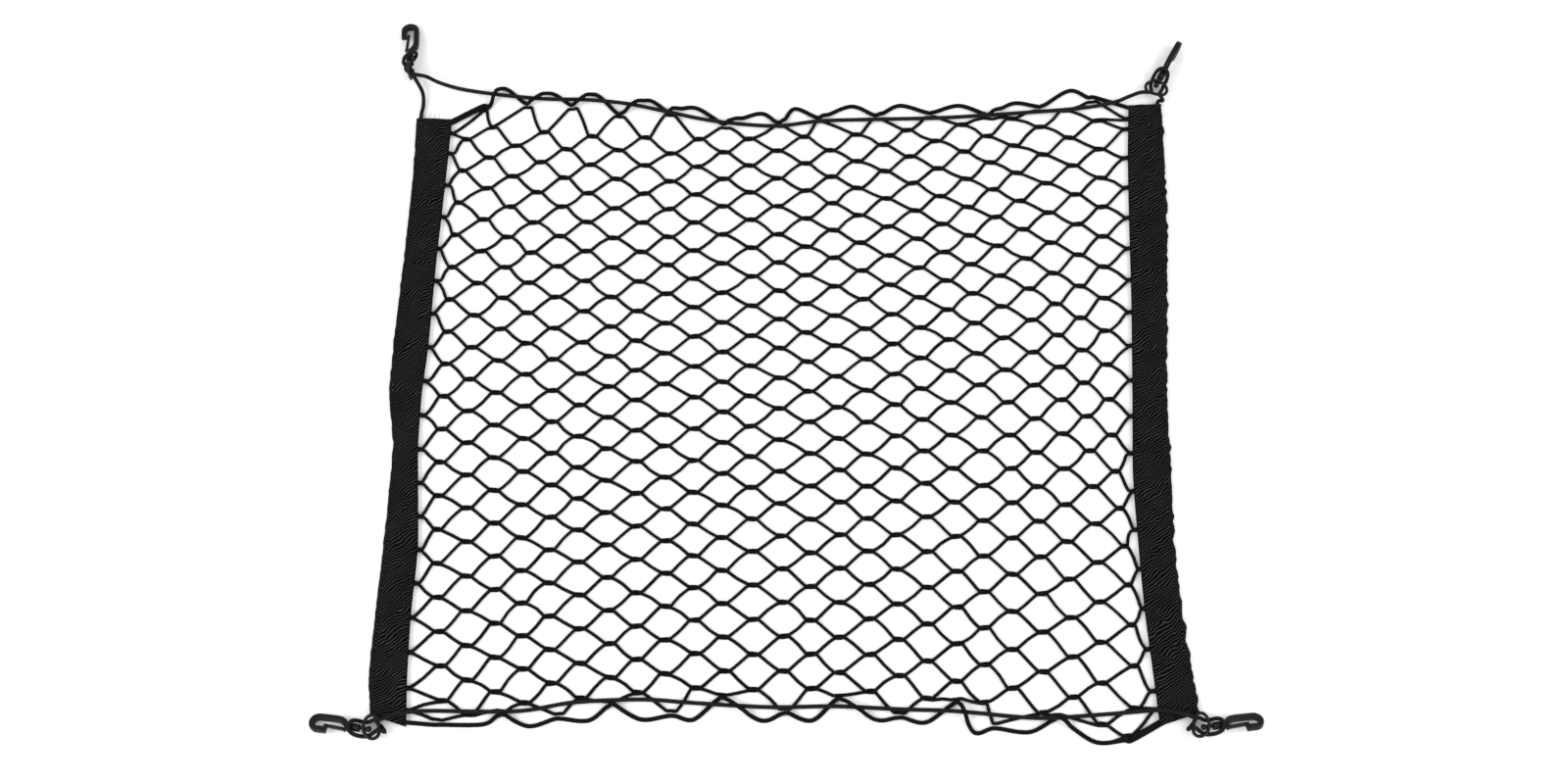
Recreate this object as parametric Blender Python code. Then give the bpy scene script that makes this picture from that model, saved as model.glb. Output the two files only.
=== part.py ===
"""Cargo net: knotless netting between two folded webbings, one elastic loop and four swivel snap hooks.

The net lies flat, knitted side up. X runs across the net, Y along the webbings, Z is up.
Everything is placed in net coordinates, whose origin is near the middle of the netting, and
one empty carries it all to the row frame, whose origin is under the middle of the whole part.
"""

import math

import bmesh
import bpy
from mathutils import Matrix, Vector

# ---- Driving dimensions, metres and degrees ----

NET_CENTRE = (-0.0023, -0.0489, 0.0)  # where net coordinates' origin lies in the row frame

# Netting: knots stand in 27 columns (0 and 26 are sewn in) and 39 half rows, staggered
COLUMNS, ROWS = 26, 38
HALF_WIDTH, HALF_LENGTH = 0.4030, 0.3325
SIDE_PULL = 0.0174  # the net draws in towards its two ends
CROWDING = 0.0119  # outer columns stand closer together
DRIFT_X, SLANT_X = -0.0045, 0.0035
MIDDLE_Y, ROW_SAG = 0.0120, 0.0085
TILT, FAN, TWIST = 0.0190, 0.0100, 0.0175
CORNER_REACH, BOW = 0.0405, 0.0050
WOBBLE = 0.0016  # how far a knot strays from the even lattice
RIGHT_CURVE = 0.0380  # the outer columns on the right follow their webbing's waist
SEWN_IN = 0.0160  # the last sewn-in knots stay this far from a webbing's cut ends
CORD_WIDTH, NET_THICK = 0.0030, 0.0030
SELVEDGE_RIM = 0.0014  # the edge cord is thicker than the netting cord
TUCK, TUCK_LIFT = 0.0060, 0.0023  # how far the netting goes into the webbing's fold, and up

# Webbing, folded once around the netting and the elastic
WEB_LAYER, WEB_HEIGHT, WEB_CHAMFER = 0.0012, 0.0070, 0.0010

# Elastic cord
ELASTIC_RADIUS = 0.0020
ON_NET, ON_WEB = 0.0054, 0.0098  # height of its centre where it lies on the net and on a webbing
IN_WEB, IN_WEB_INSET = 0.0035, 0.0048

# Snap hook and eye, in millimetres in their own frame: origin at the swivel, +X to the nose
MM = 0.001
SIDES = 12
PIN_RADIUS, HEAD_RADIUS, HEAD_AT = 1.6, 3.2, -5.2
BARREL_RADIUS, BARREL_START, NECK_END = 4.2, 4.0, 17.4
BODY_THICK, BODY_HALF, BODY_SLOT, CROWN_AT, NOSE_AT = 6.5, 10.0, 4.0, 47.5, 37.6
GATE_THICK, GATE_ROOT, GATE_TIP = 4.6, 20.0, 41.6
GATE_PIVOT = (20.2, 2.9)
EYE_WIRE, EYE_HALF, EYE_BAR_AT = 1.8, 12.0, -15.2
SOCKET_BORE, SOCKET_RADIUS, SOCKET_HALF = 2.8, 4.9, 1.5

# Edge cord: a row for each sewn-in end, knot and crest, left to right (x, y in net coordinates)
TOP_EDGE = (
    ("end", -0.3800, 0.3370), ("knot", -0.3380, 0.3550), ("crest", -0.3190, 0.3820),
    ("knot", -0.2900, 0.3590), ("crest", -0.2640, 0.3750), ("knot", -0.2390, 0.3570),
    ("crest", -0.2140, 0.3740), ("knot", -0.1860, 0.3470), ("crest", -0.1550, 0.3670),
    ("knot", -0.1290, 0.3490), ("crest", -0.1000, 0.3570), ("knot", -0.0660, 0.3330),
    ("crest", -0.0270, 0.3500), ("knot", -0.0050, 0.3350), ("crest", 0.0120, 0.3560),
    ("knot", 0.0400, 0.3410), ("crest", 0.0760, 0.3590), ("knot", 0.1050, 0.3440),
    ("crest", 0.1310, 0.3600), ("knot", 0.1650, 0.3470), ("crest", 0.1980, 0.3600),
    ("knot", 0.2310, 0.3450), ("crest", 0.2600, 0.3630), ("knot", 0.2890, 0.3550),
    ("crest", 0.3240, 0.3790), ("knot", 0.3490, 0.3660), ("end", 0.3960, 0.3545),
)
BOTTOM_EDGE = (
    ("end", -0.3930, -0.3455), ("knot", -0.3540, -0.3440), ("crest", -0.3070, -0.3480),
    ("knot", -0.2890, -0.3350), ("crest", -0.2600, -0.3500), ("knot", -0.2300, -0.3380),
    ("crest", -0.1990, -0.3440), ("knot", -0.1760, -0.3250), ("crest", -0.1460, -0.3430),
    ("knot", -0.1150, -0.3350), ("crest", -0.0920, -0.3430), ("knot", -0.0640, -0.3180),
    ("crest", -0.0240, -0.3440), ("knot", 0.0010, -0.3330), ("crest", 0.0290, -0.3440),
    ("knot", 0.0560, -0.3190), ("crest", 0.0930, -0.3430), ("knot", 0.1180, -0.3370),
    ("crest", 0.1450, -0.3460), ("knot", 0.1760, -0.3230), ("crest", 0.1930, -0.3560),
    ("knot", 0.2150, -0.3480), ("crest", 0.2500, -0.3560), ("knot", 0.2790, -0.3390),
    ("crest", 0.3160, -0.3660), ("knot", 0.3500, -0.3600), ("end", 0.3910, -0.3440),
)

# Webbings: a row for each station, far end first (outer x, outer y, inner x, inner y)
WEBBING = {
    "left": (
        (-0.4150, 0.3420, -0.3760, 0.3410), (-0.4150, 0.2700, -0.3790, 0.2700),
        (-0.4190, 0.1700, -0.3840, 0.1690), (-0.4240, 0.0700, -0.3870, 0.0700),
        (-0.4250, 0.0100, -0.3910, 0.0120), (-0.4175, -0.0450, -0.3915, -0.0450),
        (-0.4180, -0.0900, -0.3890, -0.0900), (-0.4205, -0.1600, -0.3850, -0.1600),
        (-0.4240, -0.2300, -0.3880, -0.2310), (-0.4265, -0.3000, -0.3880, -0.3010),
        (-0.4225, -0.3380, -0.3860, -0.3500),
    ),
    "right": (
        (0.4275, 0.3600, 0.3910, 0.3590), (0.4270, 0.3000, 0.3870, 0.3000),
        (0.4255, 0.2200, 0.3840, 0.2200), (0.4195, 0.1200, 0.3810, 0.1200),
        (0.4125, 0.0100, 0.3760, 0.0100), (0.4115, -0.0800, 0.3715, -0.0800),
        (0.4100, -0.1600, 0.3730, -0.1600), (0.4135, -0.2300, 0.3755, -0.2300),
        (0.4210, -0.3050, 0.3810, -0.3050), (0.4245, -0.3360, 0.3840, -0.3490),
    ),
}

# Corners: swivel point in net coordinates, then azimuth, pitch and roll of the hook and of the eye
CORNERS = {
    "far_left": ((-0.4250, 0.4070, 0.0146), (94.0, -11.3, 0.0), (94.0, 0.0, 90.0)),
    "far_right": ((0.4240, 0.3860, 0.0112), (61.0, -1.4, -90.0), (74.0, 8.0, 0.0)),
    "near_right": ((0.4310, -0.3520, 0.0113), (7.0, -4.2, 150.0), (-12.0, 0.0, 0.0)),
    "near_left": ((-0.4265, -0.3540, 0.0110), (172.0, -5.4, 18.0), (190.0, 0.0, 0.0)),
}

# Elastic between the corners: a row for each point of its route (x, y, height of the centre)
FROM_LEFT_WEB = (
    (-0.4100, 0.3480, IN_WEB), (-0.4083, 0.3600, 0.0040), (-0.4098, 0.3750, 0.0062),
)
FAR_RUN = (
    (-0.4055, 0.3905, 0.0148), (-0.3900, 0.3850, 0.0098), (-0.3640, 0.3790, ON_NET),
    (-0.3200, 0.3720, ON_NET), (-0.2700, 0.3670, ON_NET), (-0.2250, 0.3660, ON_NET),
    (-0.1780, 0.3610, ON_NET), (-0.1290, 0.3500, ON_NET), (-0.0900, 0.3410, ON_NET),
    (-0.0470, 0.3350, ON_NET), (-0.0050, 0.3330, ON_NET), (0.0410, 0.3390, ON_NET),
    (0.1000, 0.3410, ON_NET), (0.1760, 0.3430, ON_NET), (0.2510, 0.3480, ON_NET),
    (0.3330, 0.3550, ON_NET), (0.3720, 0.3615, 0.0070), (0.3900, 0.3680, 0.0090),
    (0.4030, 0.3710, 0.0135),
)
TO_RIGHT_WEB = ((0.4272, 0.3642, 0.0112), (0.4285, 0.3640, 0.0066), (0.4240, 0.3650, IN_WEB))
FROM_RIGHT_WEB = (
    (0.4190, -0.3430, IN_WEB), (0.4150, -0.3495, 0.0048), (0.4098, -0.3548, 0.0100),
)
NEAR_RUN = (
    (0.4080, -0.3400, 0.0150), (0.3970, -0.3365, 0.0105), (0.3840, -0.3350, ON_WEB),
    (0.3740, -0.3350, 0.0090), (0.3590, -0.3360, 0.0068), (0.3180, -0.3390, ON_NET),
    (0.2720, -0.3420, ON_NET), (0.2390, -0.3410, ON_NET), (0.1750, -0.3350, ON_NET),
    (0.1170, -0.3330, ON_NET), (0.0530, -0.3300, ON_NET), (-0.0080, -0.3310, ON_NET),
    (-0.0540, -0.3290, ON_NET), (-0.1000, -0.3260, ON_NET), (-0.1460, -0.3230, ON_NET),
    (-0.2150, -0.3260, ON_NET), (-0.2720, -0.3350, ON_NET), (-0.3580, -0.3350, 0.0068),
    (-0.3740, -0.3360, 0.0090), (-0.3840, -0.3370, ON_WEB), (-0.3980, -0.3400, 0.0115),
)
TO_LEFT_WEB = (
    (-0.4050, -0.3575, 0.0105), (-0.4092, -0.3515, 0.0050), (-0.4150, -0.3450, IN_WEB),
)
# The hitch: over the eye's bar, down through it, along the barrel and over the neck, in millimetres
HITCH_IN_EYE = ((-16.2, 4.8, 5.0), (-12.2, 5.8, 4.2), (-8.4, 6.5, 0.0), (-5.4, 6.8, -4.2), (-1.0, 7.2, -5.8))
HITCH_ON_HOOK = ((4.2, 7.4, -4.0), (9.4, 7.0, 1.4), (13.0, 4.6, 5.4))
HITCH_END = (14.2, 0.0, 7.3)


# ---- Small helpers ----


def material(name, colour, roughness):
    made = bpy.data.materials.new(name)
    made.use_nodes = True
    shader = made.node_tree.nodes["Principled BSDF"]
    shader.inputs["Base Color"].default_value = (*colour, 1.0)
    shader.inputs["Roughness"].default_value = roughness
    shader.inputs["Metallic"].default_value = 0.0
    return made


def add_object(name, data, finish, parent):
    made = bpy.data.objects.new(name, data)
    bpy.context.collection.objects.link(made)
    made.parent = parent
    if not data.materials:
        data.materials.append(finish)
    return made


def mesh_from(bm, name, smooth=False):
    bmesh.ops.recalc_face_normals(bm, faces=bm.faces)
    if bm.calc_volume(signed=True) < 0:
        bmesh.ops.reverse_faces(bm, faces=bm.faces)
    mesh = bpy.data.meshes.new(name)
    bm.to_mesh(mesh)
    bm.free()
    if smooth:
        mesh.shade_smooth()
        mesh.set_sharp_from_angle(angle=math.radians(40))
    return mesh


def wobble(column, row, turn):
    """A small even stray from -1 to 1 that depends on the knot's place only."""
    return math.sin(12.99 * column + 78.23 * row + turn) * math.cos(4.7 * column - 3.1 * row + turn)


def smooth_route(points, steps):
    """Points along a Catmull-Rom curve through the given ones, with that many steps for each."""
    points = [Vector(p) for p in points]
    ends = [2 * points[0] - points[1], *points, 2 * points[-1] - points[-2]]
    route = []
    for before, start, end, after in zip(ends, ends[1:], ends[2:], ends[3:]):
        for step in range(steps):
            t = step / steps
            route.append(
                0.5 * (2 * start + (end - before) * t
                       + (2 * before - 5 * start + 4 * end - after) * t ** 2
                       + (3 * start - before - 3 * end + after) * t ** 3)
            )
    return [*route, points[-1]]


# ---- Netting ----


def knot(column, row):
    """Place of a knot of the laid net. Rows count down from the far edge."""
    u = 2 * column / COLUMNS - 1
    v = 2 * row / ROWS - 1
    x = DRIFT_X + SLANT_X * v + u * (HALF_WIDTH - SIDE_PULL * v * v - CROWDING * u * u)
    y = MIDDLE_Y - v * (HALF_LENGTH + CORNER_REACH * u * u) - ROW_SAG * v * v
    y += u * (TILT - FAN * v - TWIST * v * v) - BOW * u * u
    x += WOBBLE * wobble(column, row, 0.0) + RIGHT_CURVE * max(u, 0.0) ** 8 * (0.6 - (1 - v * v) ** 2)
    y += WOBBLE * wobble(column, row, 2.0)
    return Vector((x, y, 0.0))


def inner_edge(side, y):
    """x of a webbing's inner edge at a given y."""
    stations = WEBBING[side]
    for (_, _, x0, y0), (_, _, x1, y1) in zip(stations, stations[1:]):
        if y >= y1:
            return x0 + (x1 - x0) * (y0 - y) / (y0 - y1)
    return stations[-1][2]


def net_corner(column, row):
    """A knot, or a point of the edge cord, of the netting as it lies."""
    if row <= 0 or row >= ROWS:
        edge = TOP_EDGE if row <= 0 else BOTTOM_EDGE
        kind, x, y = edge[column]
        return Vector((x, y, TUCK_LIFT if kind == "end" else 0.0))
    place = knot(column, row)
    if column in (0, COLUMNS):
        side, sign = ("left", -1) if column == 0 else ("right", 1)
        place.y = min(max(place.y, WEBBING[side][-1][3] + SEWN_IN), WEBBING[side][0][3] - SEWN_IN)
        place.x = inner_edge(side, place.y) + sign * TUCK
        place.z = TUCK_LIFT
    return place


def net_cells():
    """Corner places of every mesh, as (column, row) tuples going round it."""
    for column in range(COLUMNS + 1):
        for row in range(column % 2, ROWS + 1, 2):
            corners = [(column, row + 1), (column, row - 1)]
            if column < COLUMNS:
                corners.insert(1, (column + 1, row))
            if column > 0:
                corners.append((column - 1, row))
            yield corners


def make_netting(finish, parent):
    """Each mesh is a face that is inset by half a cord and opened, then all is given its thickness."""
    bm = bmesh.new()
    verts = {}
    cells = []
    for corners in net_cells():
        for place in corners:
            if place not in verts:
                verts[place] = bm.verts.new(net_corner(*place))
        cells.append(bm.faces.new([verts[place] for place in corners]))
    bmesh.ops.inset_region(
        bm, faces=cells, use_boundary=True, use_even_offset=True, thickness=SELVEDGE_RIM, use_outset=True
    )
    for vert in bm.verts:
        vert.co.z = min(max(vert.co.z, 0.0), TUCK_LIFT)
    bmesh.ops.inset_individual(bm, faces=cells, thickness=CORD_WIDTH / 2, use_even_offset=True)
    for vert in bm.verts:
        vert.co.z = min(max(vert.co.z, 0.0), TUCK_LIFT)
    bmesh.ops.delete(bm, geom=cells, context="FACES_ONLY")
    raised = bmesh.ops.extrude_face_region(bm, geom=bm.faces[:])["geom"]
    bmesh.ops.translate(
        bm, vec=(0.0, 0.0, NET_THICK), verts=[g for g in raised if isinstance(g, bmesh.types.BMVert)]
    )
    return add_object("netting", mesh_from(bm, "netting"), finish, parent)


# ---- Webbings ----


def make_webbing(side, finish, parent):
    """A tape folded lengthwise: its outer edge is the fold and its inner edge is the open mouth."""
    chamfer, layer, top = WEB_CHAMFER, WEB_LAYER, WEB_HEIGHT
    bend = layer + chamfer / 2
    profile = (  # distance from the outer edge (None is the full width), height
        (0.0, chamfer), (chamfer, 0.0), (None, 0.0), (None, layer), (bend, layer), (layer, bend),
        (layer, top - bend), (bend, top - layer), (None, top - layer), (None, top),
        (chamfer, top), (0.0, top - chamfer),
    )
    bm = bmesh.new()
    rings = []
    for outer_x, outer_y, inner_x, inner_y in WEBBING[side]:
        across = Vector((inner_x - outer_x, inner_y - outer_y, 0.0))
        width = across.length
        across.normalize()
        ring = []
        for distance, height in profile:
            reach = width if distance is None else distance
            ring.append(bm.verts.new(Vector((outer_x, outer_y, height)) + across * reach))
        edges = [bm.edges.new((a, b)) for a, b in zip(ring, ring[1:] + ring[:1])]
        rings.append((ring, edges))
    for (_, first), (_, second) in zip(rings, rings[1:]):
        bmesh.ops.bridge_loops(bm, edges=first + second)
    for ring, _ in (rings[0], rings[-1]):
        bm.faces.new(ring)
    return add_object(f"webbing_{side}", mesh_from(bm, f"webbing_{side}"), finish, parent)


# ---- Hooks and eyes ----


def frame(place, azimuth, pitch, roll):
    """Matrix of a piece whose own +X points along azimuth and pitch, turned about it by roll."""
    return (
        Matrix.Translation(place)
        @ Matrix.Rotation(math.radians(azimuth), 4, "Z")
        @ Matrix.Rotation(math.radians(-pitch), 4, "Y")
        @ Matrix.Rotation(math.radians(roll), 4, "X")
    )


def arc(centre, radius, start, end, steps):
    angles = [math.radians(start + (end - start) * i / steps) for i in range(steps + 1)]
    return [(centre[0] + radius * math.cos(a), centre[1] + radius * math.sin(a)) for a in angles]


def plate(outline, thick):
    """A flat piece with that outline in XY, centred on Z, sizes in millimetres."""
    bm = bmesh.new()
    face = bm.faces.new([bm.verts.new((x * MM, y * MM, -thick / 2 * MM)) for x, y in outline])
    raised = bmesh.ops.extrude_face_region(bm, geom=[face])["geom"]
    bmesh.ops.translate(
        bm, vec=(0.0, 0.0, thick * MM), verts=[g for g in raised if isinstance(g, bmesh.types.BMVert)]
    )
    return bm


def turned(profile):
    """A turned piece about X from (x, radius) points in millimetres; its ends lie on the axis."""
    bm = bmesh.new()
    verts = [bm.verts.new((x * MM, radius * MM, 0.0)) for x, radius in profile]
    edges = [bm.edges.new(pair) for pair in zip(verts, verts[1:])]
    bmesh.ops.spin(
        bm, geom=verts + edges, axis=(1, 0, 0), cent=(0, 0, 0), angle=math.tau, steps=SIDES, use_merge=True
    )
    bmesh.ops.remove_doubles(bm, verts=bm.verts, dist=1e-6)
    return bm


def combined(name, first, second, operation="UNION"):
    """The exact Boolean of two closed shapes, as one mesh."""
    shapes = []
    for part, bm in (("a", first), ("b", second)):
        shape = bpy.data.objects.new(f"{name}_{part}", mesh_from(bm, f"{name}_{part}"))
        bpy.context.collection.objects.link(shape)
        shapes.append(shape)
    boolean = shapes[0].modifiers.new("join", "BOOLEAN")
    boolean.operation = operation
    boolean.object = shapes[1]
    bpy.context.view_layer.update()
    joined = bpy.data.meshes.new_from_object(shapes[0].evaluated_get(bpy.context.evaluated_depsgraph_get()))
    joined.name = name
    joined.materials.clear()
    for shape in shapes:
        bpy.data.objects.remove(shape)
    joined.shade_smooth()
    joined.set_sharp_from_angle(angle=math.radians(40))
    return joined


def hook_mesh():
    """J-shaped body with its neck, barrel, pin and rivet head, moulded in one."""
    head = [(HEAD_AT + x, y) for x, y in arc((0, 0), HEAD_RADIUS, 180, 30, 5)]
    stem = turned(
        [(head[0][0], 0.0), *head[1:], (HEAD_AT + HEAD_RADIUS, PIN_RADIUS), (BARREL_START, PIN_RADIUS),
         (BARREL_START, BARREL_RADIUS - 0.6), (BARREL_START + 0.8, BARREL_RADIUS),
         (NECK_END, BARREL_RADIUS), (NECK_END, 0.0)]
    )
    outline = [
        (16.9, -3.6), (19.0, -6.6), (23.5, -9.2), (29.0, -BODY_HALF),
        *arc((CROWN_AT, 0), BODY_HALF, -90, 90, 8),
        (NOSE_AT + 0.8, BODY_HALF), (NOSE_AT, BODY_HALF - 0.8), (NOSE_AT, BODY_SLOT),
        *arc((CROWN_AT, 0), BODY_SLOT, 90, -90, 6),
        (30.0, -BODY_SLOT), (25.5, -3.2), (21.5, -0.4), (19.5, 1.6), (19.5, 5.9), (16.9, 4.0),
    ]
    return combined("hook", plate(outline, BODY_THICK), stem)


def gate_mesh():
    """Spring tongue from the neck to inside the nose."""
    outline = [(GATE_ROOT, 2.2), (GATE_TIP, 0.5), (GATE_TIP, 3.1), (GATE_ROOT, 5.0)]
    return mesh_from(plate(outline, GATE_THICK), "gate")


def eye_mesh():
    """Stirrup with a straight bar, and the socket that the hook's pin turns in."""
    shoulder = [(-0.1, 4.6), (-2.8, 8.8), (-6.0, 11.5), (-10.2, EYE_HALF), (-13.8, 9.6), (-14.9, 6.0)]
    path = [*shoulder, (EYE_BAR_AT, 0.0), *[(x, -y) for x, y in reversed(shoulder)]]
    curve = bpy.data.curves.new("stirrup", "CURVE")
    curve.dimensions = "3D"
    curve.bevel_depth = EYE_WIRE * MM
    curve.bevel_resolution = 1
    curve.use_fill_caps = True
    spline = curve.splines.new("POLY")
    spline.points.add(len(path) - 1)
    for point, (x, y) in zip(spline.points, path):
        point.co = (x * MM, y * MM, 0.0, 1.0)
    guide = bpy.data.objects.new("stirrup", curve)
    bpy.context.collection.objects.link(guide)
    stirrup = bmesh.new()
    stirrup.from_mesh(bpy.data.meshes.new_from_object(guide))
    bmesh.ops.remove_doubles(stirrup, verts=stirrup.verts, dist=1e-6)
    bpy.data.objects.remove(guide)
    ring = bmesh.new()
    section = [
        ring.verts.new((x * MM, radius * MM, 0.0))
        for x, radius in ((-SOCKET_HALF, SOCKET_BORE), (SOCKET_HALF, SOCKET_BORE),
                          (SOCKET_HALF, SOCKET_RADIUS), (-SOCKET_HALF, SOCKET_RADIUS))
    ]
    edges = [ring.edges.new(pair) for pair in zip(section, section[1:] + section[:1])]
    bmesh.ops.spin(
        ring, geom=section + edges, axis=(1, 0, 0), cent=(0, 0, 0), angle=math.tau, steps=SIDES,
        use_merge=True,
    )
    bmesh.ops.remove_doubles(ring, verts=ring.verts, dist=1e-6)
    return combined("eye", stirrup, ring)


def make_corner(name, meshes, finish, parent):
    place, hook_turn, eye_turn = CORNERS[name]
    hook, gate, eye = meshes
    axis = bpy.data.objects.new(f"swivel_{name}", None)
    bpy.context.collection.objects.link(axis)
    axis.parent = parent
    axis.matrix_local = frame(place, *hook_turn)
    add_object(f"hook_{name}", hook, finish, axis)
    hinge = bpy.data.objects.new(f"hinge_{name}", None)
    bpy.context.collection.objects.link(hinge)
    hinge.parent = axis
    hinge.location = (GATE_PIVOT[0] * MM, GATE_PIVOT[1] * MM, 0.0)
    tongue = add_object(f"gate_{name}", gate, finish, hinge)
    tongue.location = (-GATE_PIVOT[0] * MM, -GATE_PIVOT[1] * MM, 0.0)
    ring = add_object(f"eye_{name}", eye, finish, parent)
    ring.matrix_local = frame(place, *eye_turn)


# ---- Elastic ----


def in_webbing(side, start, end, steps):
    """Points along a webbing's fold, a little inside its outer edge."""
    points = []
    for step in range(steps + 1):
        y = start + (end - start) * step / steps
        stations = WEBBING[side]
        for (x0, y0, *_), (x1, y1, *_) in zip(stations, stations[1:]):
            if y >= y1 or (x1, y1) == stations[-1][:2]:
                x = x0 + (x1 - x0) * (y0 - y) / (y0 - y1)
                break
        inset = IN_WEB_INSET if side == "left" else -IN_WEB_INSET
        points.append((x + inset, y, IN_WEB))
    return points


def hitch(name, side):
    """The elastic's way through a corner, entering on the +Y (1) or -Y (-1) side of the eye."""
    place, hook_turn, eye_turn = CORNERS[name]
    on_eye = frame(place, *eye_turn)
    roll = eye_turn[2]
    on_hook = frame(place, hook_turn[0], hook_turn[1], roll)
    way = []
    for sign in (side, -side):
        leg = [on_eye @ Vector((x * MM, y * sign * MM, z * MM)) for x, y, z in HITCH_IN_EYE]
        leg += [on_hook @ Vector((x * MM, y * sign * MM, z * MM)) for x, y, z in HITCH_ON_HOOK]
        way.append(leg)
    middle = on_hook @ Vector([c * MM for c in HITCH_END])
    return smooth_route([*way[0], middle, *reversed(way[1])], 2)


def make_elastic(finish, parent):
    """One cord, joined end to end inside the left webbing."""
    route = [
        *in_webbing("left", -0.0300, 0.3360, 8), *FROM_LEFT_WEB, *hitch("far_left", -1), *FAR_RUN,
        *hitch("far_right", 1), *TO_RIGHT_WEB, *in_webbing("right", 0.3520, -0.3290, 12),
        *FROM_RIGHT_WEB, *hitch("near_right", -1), *NEAR_RUN, *hitch("near_left", -1),
        *TO_LEFT_WEB, *in_webbing("left", -0.3290, -0.0310, 9),
    ]
    curve = bpy.data.curves.new("elastic", "CURVE")
    curve.dimensions = "3D"
    curve.bevel_depth = ELASTIC_RADIUS
    curve.bevel_resolution = 2
    curve.use_fill_caps = True
    spline = curve.splines.new("POLY")
    spline.points.add(len(route) - 1)
    for point, place in zip(spline.points, route):
        point.co = (*place, 1.0)
    return add_object("elastic", curve, finish, parent)


def main():
    for thing in list(bpy.data.objects):
        bpy.data.objects.remove(thing)
    cord = material("netting_cord", (0.012, 0.012, 0.013), 0.85)
    tape = material("webbing_twill", (0.011, 0.010, 0.010), 0.80)
    sheath = material("elastic_sheath", (0.017, 0.017, 0.018), 0.60)
    plastic = material("moulded_plastic", (0.014, 0.014, 0.015), 0.38)
    root = bpy.data.objects.new("cargo_net", None)
    bpy.context.collection.objects.link(root)
    root.location = NET_CENTRE
    make_netting(cord, root)
    for side in WEBBING:
        make_webbing(side, tape, root)
    make_elastic(sheath, root)
    meshes = (hook_mesh(), gate_mesh(), eye_mesh())
    for name in CORNERS:
        make_corner(name, meshes, plastic, root)


main()
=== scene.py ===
"""Cargo net: knitted netting between two folded webbings, an elastic loop and four swivel snap hooks.

X runs across the net, Y along the webbings and Z is up, in metres. Places are given in net
coordinates, whose origin is near the middle of the netting, and NET_CENTRE carries them to the
frame. Each operator makes one group of pieces, on the bodies that the frame has.
"""

import math
import random

import bmesh
import bpy
from bpy.props import FloatProperty, FloatVectorProperty, IntProperty, PointerProperty
from mathutils import Matrix, Vector, noise


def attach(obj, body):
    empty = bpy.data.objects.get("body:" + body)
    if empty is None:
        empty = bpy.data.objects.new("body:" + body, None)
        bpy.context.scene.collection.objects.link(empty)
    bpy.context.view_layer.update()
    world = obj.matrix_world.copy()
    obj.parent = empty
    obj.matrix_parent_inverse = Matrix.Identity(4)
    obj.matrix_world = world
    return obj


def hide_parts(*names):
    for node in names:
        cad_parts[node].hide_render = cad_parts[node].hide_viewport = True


bl_info = {
    "name": "Cargo Net",
    "version": (1, 0, 0),
    "blender": (4, 5, 0),
    "location": "View3D > Sidebar > Cargo Net",
    "description": "Builds a laid cargo net with webbings, an elastic loop and swivel snap hooks",
    "category": "Add Mesh",
}

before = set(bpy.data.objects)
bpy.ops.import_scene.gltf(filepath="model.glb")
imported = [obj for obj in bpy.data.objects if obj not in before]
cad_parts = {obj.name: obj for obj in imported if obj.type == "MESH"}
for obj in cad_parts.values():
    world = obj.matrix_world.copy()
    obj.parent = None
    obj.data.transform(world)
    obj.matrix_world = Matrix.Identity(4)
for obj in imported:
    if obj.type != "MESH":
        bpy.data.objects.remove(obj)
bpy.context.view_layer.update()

NET_CENTRE = Vector((-0.0023, -0.0489, 0.0))
ROOT = "net"
MM = 0.001

# ---- Netting: knots stand in 27 columns (0 and 26 are sewn in) and 39 half rows, staggered ----

COLUMNS, ROWS = 26, 38
HALF_WIDTH, HALF_LENGTH = 0.4030, 0.3325
SIDE_PULL, CROWDING = 0.0174, 0.0119
DRIFT_X, SLANT_X = -0.0045, 0.0035
MIDDLE_Y, ROW_SAG = 0.0120, 0.0085
TILT, FAN, TWIST = 0.0190, 0.0100, 0.0175
CORNER_REACH, BOW = 0.0405, 0.0050
WOBBLE = 0.0016
RIGHT_CURVE = 0.0380  # the outer columns on the right follow their webbing's waist
SEWN_IN = 0.0160  # the last sewn-in knots stay this far from a webbing's cut ends
TUCK, TUCK_HEIGHT = 0.0070, 0.0034
STRAY_SEED = 7
# Edge cord: half of its stretch along a knot, its spacing of points, and how near the elastic it climbs
EDGE_KNOT_HALF, EDGE_SPACING = 0.004, 0.0022
CLIMB_REACH, CLIMB_EASE = 0.010, 0.0065
# Doubled stretch of edge cord: its points, those over which it merges, and how far beside it lies
DOUBLED_POINTS, MERGING_POINTS = 30, 8
DOUBLED_BESIDE, DOUBLED_ABOVE = 0.0030, 0.0004

# Edge cord: a row for each sewn-in end, knot and crest, left to right (x, y in net coordinates)
TOP_EDGE = (
    ("end", -0.3800, 0.3370), ("knot", -0.3380, 0.3550), ("crest", -0.3190, 0.3820),
    ("knot", -0.2900, 0.3590), ("crest", -0.2640, 0.3750), ("knot", -0.2390, 0.3570),
    ("crest", -0.2140, 0.3740), ("knot", -0.1860, 0.3470), ("crest", -0.1550, 0.3670),
    ("knot", -0.1290, 0.3490), ("crest", -0.1000, 0.3570), ("knot", -0.0660, 0.3330),
    ("crest", -0.0270, 0.3500), ("knot", -0.0050, 0.3350), ("crest", 0.0120, 0.3560),
    ("knot", 0.0400, 0.3410), ("crest", 0.0760, 0.3590), ("knot", 0.1050, 0.3440),
    ("crest", 0.1310, 0.3600), ("knot", 0.1650, 0.3470), ("crest", 0.1980, 0.3600),
    ("knot", 0.2310, 0.3450), ("crest", 0.2600, 0.3630), ("knot", 0.2890, 0.3550),
    ("crest", 0.3240, 0.3790), ("knot", 0.3490, 0.3660), ("end", 0.3960, 0.3545),
)
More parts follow.
